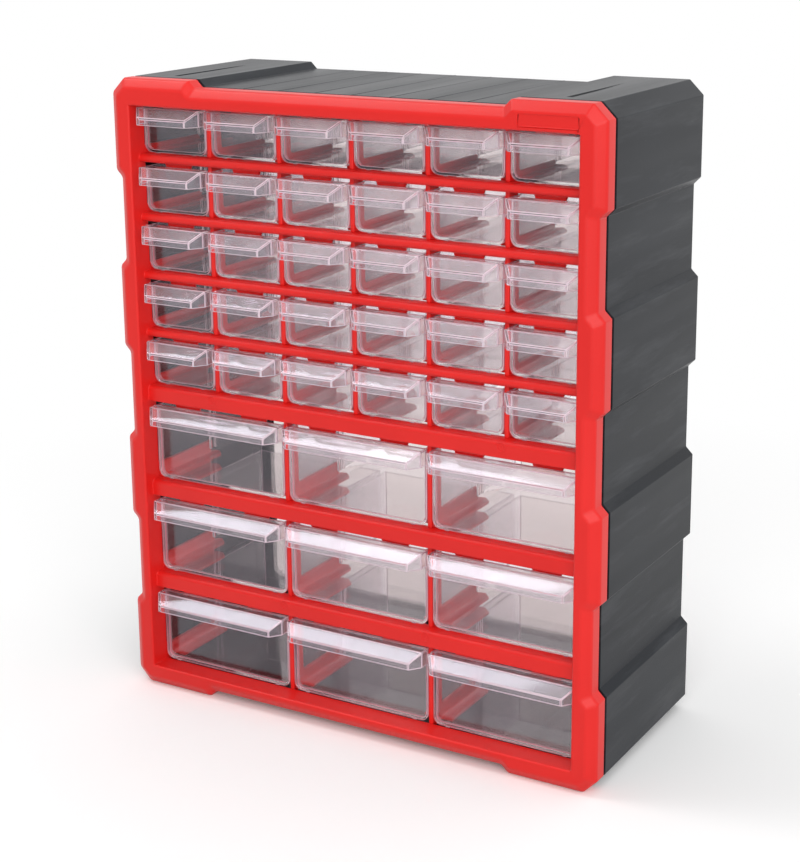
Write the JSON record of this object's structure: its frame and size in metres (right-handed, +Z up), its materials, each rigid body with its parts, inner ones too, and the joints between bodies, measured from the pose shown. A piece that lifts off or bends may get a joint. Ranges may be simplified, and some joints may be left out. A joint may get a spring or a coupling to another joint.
{
  "type": "parts bin cabinet",
  "caption": "Free-standing parts cabinet: a stepped dark housing, a red moulded front frame and rows of small and large clear drawers that slide out on moulded guides.",
  "frame": {"origin": "centre of the bounding box, at the height of the feet's undersides", "axes": "+X to the right as seen from the front, +Y towards the open back, +Z up; the drawers open towards -Y"},
  "size_m": [0.38, 0.16, 0.456],
  "materials": {
    "housing_plastic": "fine satin grain, charcoal grey",
    "frame_plastic": "smooth, bright red",
    "clear_plastic": "clear, polished, faintly pink"
  },
  "bodies": {
    "cabinet": {"housing": "housing_plastic", "front_frame": "frame_plastic", "dividers_r1": "frame_plastic", "dividers_r2": "frame_plastic", "dividers_r3": "frame_plastic", "dividers_r4": "frame_plastic", "dividers_r5": "frame_plastic", "dividers_r6": "frame_plastic", "dividers_r7": "frame_plastic", "dividers_r8": "frame_plastic"},
    "small_drawer_r1_c1_body": {"small_drawer_r1_c1": "clear_plastic"},
    "small_drawer_r1_c2_body": {"small_drawer_r1_c2": "clear_plastic"},
    "small_drawer_r1_c3_body": {"small_drawer_r1_c3": "clear_plastic"},
    "small_drawer_r1_c4_body": {"small_drawer_r1_c4": "clear_plastic"},
    "small_drawer_r1_c5_body": {"small_drawer_r1_c5": "clear_plastic"},
    "small_drawer_r1_c6_body": {"small_drawer_r1_c6": "clear_plastic"},
    "small_drawer_r2_c1_body": {"small_drawer_r2_c1": "clear_plastic"},
    "small_drawer_r2_c2_body": {"small_drawer_r2_c2": "clear_plastic"},
    "small_drawer_r2_c3_body": {"small_drawer_r2_c3": "clear_plastic"},
    "small_drawer_r2_c4_body": {"small_drawer_r2_c4": "clear_plastic"},
    "small_drawer_r2_c5_body": {"small_drawer_r2_c5": "clear_plastic"},
    "small_drawer_r2_c6_body": {"small_drawer_r2_c6": "clear_plastic"},
    "small_drawer_r3_c1_body": {"small_drawer_r3_c1": "clear_plastic"},
    "small_drawer_r3_c2_body": {"small_drawer_r3_c2": "clear_plastic"},
    "small_drawer_r3_c3_body": {"small_drawer_r3_c3": "clear_plastic"},
    "small_drawer_r3_c4_body": {"small_drawer_r3_c4": "clear_plastic"},
    "small_drawer_r3_c5_body": {"small_drawer_r3_c5": "clear_plastic"},
    "small_drawer_r3_c6_body": {"small_drawer_r3_c6": "clear_plastic"},
    "small_drawer_r4_c1_body": {"small_drawer_r4_c1": "clear_plastic"},
    "small_drawer_r4_c2_body": {"small_drawer_r4_c2": "clear_plastic"},
    "small_drawer_r4_c3_body": {"small_drawer_r4_c3": "clear_plastic"},
    "small_drawer_r4_c4_body": {"small_drawer_r4_c4": "clear_plastic"},
    "small_drawer_r4_c5_body": {"small_drawer_r4_c5": "clear_plastic"},
    "small_drawer_r4_c6_body": {"small_drawer_r4_c6": "clear_plastic"},
    "small_drawer_r5_c1_body": {"small_drawer_r5_c1": "clear_plastic"},
    "small_drawer_r5_c2_body": {"small_drawer_r5_c2": "clear_plastic"},
    "small_drawer_r5_c3_body": {"small_drawer_r5_c3": "clear_plastic"},
    "small_drawer_r5_c4_body": {"small_drawer_r5_c4": "clear_plastic"},
    "small_drawer_r5_c5_body": {"small_drawer_r5_c5": "clear_plastic"},
    "small_drawer_r5_c6_body": {"small_drawer_r5_c6": "clear_plastic"},
    "large_drawer_r6_c1_body": {"large_drawer_r6_c1": "clear_plastic"},
    "large_drawer_r6_c2_body": {"large_drawer_r6_c2": "clear_plastic"},
    "large_drawer_r6_c3_body": {"large_drawer_r6_c3": "clear_plastic"},
    "large_drawer_r7_c1_body": {"large_drawer_r7_c1": "clear_plastic"},
    "large_drawer_r7_c2_body": {"large_drawer_r7_c2": "clear_plastic"},
    "large_drawer_r7_c3_body": {"large_drawer_r7_c3": "clear_plastic"},
    "large_drawer_r8_c1_body": {"large_drawer_r8_c1": "clear_plastic"},
    "large_drawer_r8_c2_body": {"large_drawer_r8_c2": "clear_plastic"},
    "large_drawer_r8_c3_body": {"large_drawer_r8_c3": "clear_plastic"}
  },
  "joints": [
    {"name": "small_drawer_r1_c1_slide", "type": "slide", "parent": "cabinet", "child": "small_drawer_r1_c1_body", "axis": [0, -1, 0], "range_m": [0, 0.125]},
    {"name": "small_drawer_r1_c2_slide", "type": "slide", "parent": "cabinet", "child": "small_drawer_r1_c2_body", "axis": [0, -1, 0], "range_m": [0, 0.125]},
    {"name": "small_drawer_r1_c3_slide", "type": "slide", "parent": "cabinet", "child": "small_drawer_r1_c3_body", "axis": [0, -1, 0], "range_m": [0, 0.125]},
    {"name": "small_drawer_r1_c4_slide", "type": "slide", "parent": "cabinet", "child": "small_drawer_r1_c4_body", "axis": [0, -1, 0], "range_m": [0, 0.125]},
    {"name": "small_drawer_r1_c5_slide", "type": "slide", "parent": "cabinet", "child": "small_drawer_r1_c5_body", "axis": [0, -1, 0], "range_m": [0, 0.125]},
    {"name": "small_drawer_r1_c6_slide", "type": "slide", "parent": "cabinet", "child": "small_drawer_r1_c6_body", "axis": [0, -1, 0], "range_m": [0, 0.125]},
    {"name": "small_drawer_r2_c1_slide", "type": "slide", "parent": "cabinet", "child": "small_drawer_r2_c1_body", "axis": [0, -1, 0], "range_m": [0, 0.125]},
    {"name": "small_drawer_r2_c2_slide", "type": "slide", "parent": "cabinet", "child": "small_drawer_r2_c2_body", "axis": [0, -1, 0], "range_m": [0, 0.125]},
    {"name": "small_drawer_r2_c3_slide", "type": "slide", "parent": "cabinet", "child": "small_drawer_r2_c3_body", "axis": [0, -1, 0], "range_m": [0, 0.125]},
    {"name": "small_drawer_r2_c4_slide", "type": "slide", "parent": "cabinet", "child": "small_drawer_r2_c4_body", "axis": [0, -1, 0], "range_m": [0, 0.125]},
    {"name": "small_drawer_r2_c5_slide", "type": "slide", "parent": "cabinet", "child": "small_drawer_r2_c5_body", "axis": [0, -1, 0], "range_m": [0, 0.125]},
    {"name": "small_drawer_r2_c6_slide", "type": "slide", "parent": "cabinet", "child": "small_drawer_r2_c6_body", "axis": [0, -1, 0], "range_m": [0, 0.125]},
    {"name": "small_drawer_r3_c1_slide", "type": "slide", "parent": "cabinet", "child": "small_drawer_r3_c1_body", "axis": [0, -1, 0], "range_m": [0, 0.125]},
    {"name": "small_drawer_r3_c2_slide", "type": "slide", "parent": "cabinet", "child": "small_drawer_r3_c2_body", "axis": [0, -1, 0], "range_m": [0, 0.125]},
    {"name": "small_drawer_r3_c3_slide", "type": "slide", "parent": "cabinet", "child": "small_drawer_r3_c3_body", "axis": [0, -1, 0], "range_m": [0, 0.125]},
    {"name": "small_drawer_r3_c4_slide", "type": "slide", "parent": "cabinet", "child": "small_drawer_r3_c4_body", "axis": [0, -1, 0], "range_m": [0, 0.125]},
    {"name": "small_drawer_r3_c5_slide", "type": "slide", "parent": "cabinet", "child": "small_drawer_r3_c5_body", "axis": [0, -1, 0], "range_m": [0, 0.125]},
    {"name": "small_drawer_r3_c6_slide", "type": "slide", "parent": "cabinet", "child": "small_drawer_r3_c6_body", "axis": [0, -1, 0], "range_m": [0, 0.125]},
    {"name": "small_drawer_r4_c1_slide", "type": "slide", "parent": "cabinet", "child": "small_drawer_r4_c1_body", "axis": [0, -1, 0], "range_m": [0, 0.125]},
    {"name": "small_drawer_r4_c2_slide", "type": "slide", "parent": "cabinet", "child": "small_drawer_r4_c2_body", "axis": [0, -1, 0], "range_m": [0, 0.125]},
    {"name": "small_drawer_r4_c3_slide", "type": "slide", "parent": "cabinet", "child": "small_drawer_r4_c3_body", "axis": [0, -1, 0], "range_m": [0, 0.125]},
    {"name": "small_drawer_r4_c4_slide", "type": "slide", "parent": "cabinet", "child": "small_drawer_r4_c4_body", "axis": [0, -1, 0], "range_m": [0, 0.125]},
    {"name": "small_drawer_r4_c5_slide", "type": "slide", "parent": "cabinet", "child": "small_drawer_r4_c5_body", "axis": [0, -1, 0], "range_m": [0, 0.125]},
    {"name": "small_drawer_r4_c6_slide", "type": "slide", "parent": "cabinet", "child": "small_drawer_r4_c6_body", "axis": [0, -1, 0], "range_m": [0, 0.125]},
    {"name": "small_drawer_r5_c1_slide", "type": "slide", "parent": "cabinet", "child": "small_drawer_r5_c1_body", "axis": [0, -1, 0], "range_m": [0, 0.125]},
    {"name": "small_drawer_r5_c2_slide", "type": "slide", "parent": "cabinet", "child": "small_drawer_r5_c2_body", "axis": [0, -1, 0], "range_m": [0, 0.125]},
    {"name": "small_drawer_r5_c3_slide", "type": "slide", "parent": "cabinet", "child": "small_drawer_r5_c3_body", "axis": [0, -1, 0], "range_m": [0, 0.125]},
    {"name": "small_drawer_r5_c4_slide", "type": "slide", "parent": "cabinet", "child": "small_drawer_r5_c4_body", "axis": [0, -1, 0], "range_m": [0, 0.125]},
    {"name": "small_drawer_r5_c5_slide", "type": "slide", "parent": "cabinet", "child": "small_drawer_r5_c5_body", "axis": [0, -1, 0], "range_m": [0, 0.125]},
    {"name": "small_drawer_r5_c6_slide", "type": "slide", "parent": "cabinet", "child": "small_drawer_r5_c6_body", "axis": [0, -1, 0], "range_m": [0, 0.125]},
    {"name": "large_drawer_r6_c1_slide", "type": "slide", "parent": "cabinet", "child": "large_drawer_r6_c1_body", "axis": [0, -1, 0], "range_m": [0, 0.125]},
    {"name": "large_drawer_r6_c2_slide", "type": "slide", "parent": "cabinet", "child": "large_drawer_r6_c2_body", "axis": [0, -1, 0], "range_m": [0, 0.125]},
    {"name": "large_drawer_r6_c3_slide", "type": "slide", "parent": "cabinet", "child": "large_drawer_r6_c3_body", "axis": [0, -1, 0], "range_m": [0, 0.125]},
    {"name": "large_drawer_r7_c1_slide", "type": "slide", "parent": "cabinet", "child": "large_drawer_r7_c1_body", "axis": [0, -1, 0], "range_m": [0, 0.125]},
    {"name": "large_drawer_r7_c2_slide", "type": "slide", "parent": "cabinet", "child": "large_drawer_r7_c2_body", "axis": [0, -1, 0], "range_m": [0, 0.125]},
    {"name": "large_drawer_r7_c3_slide", "type": "slide", "parent": "cabinet", "child": "large_drawer_r7_c3_body", "axis": [0, -1, 0], "range_m": [0, 0.125]},
    {"name": "large_drawer_r8_c1_slide", "type": "slide", "parent": "cabinet", "child": "large_drawer_r8_c1_body", "axis": [0, -1, 0], "range_m": [0, 0.125]},
    {"name": "large_drawer_r8_c2_slide", "type": "slide", "parent": "cabinet", "child": "large_drawer_r8_c2_body", "axis": [0, -1, 0], "range_m": [0, 0.125]},
    {"name": "large_drawer_r8_c3_slide", "type": "slide", "parent": "cabinet", "child": "large_drawer_r8_c3_body", "axis": [0, -1, 0], "range_m": [0, 0.125]}
  ]
}
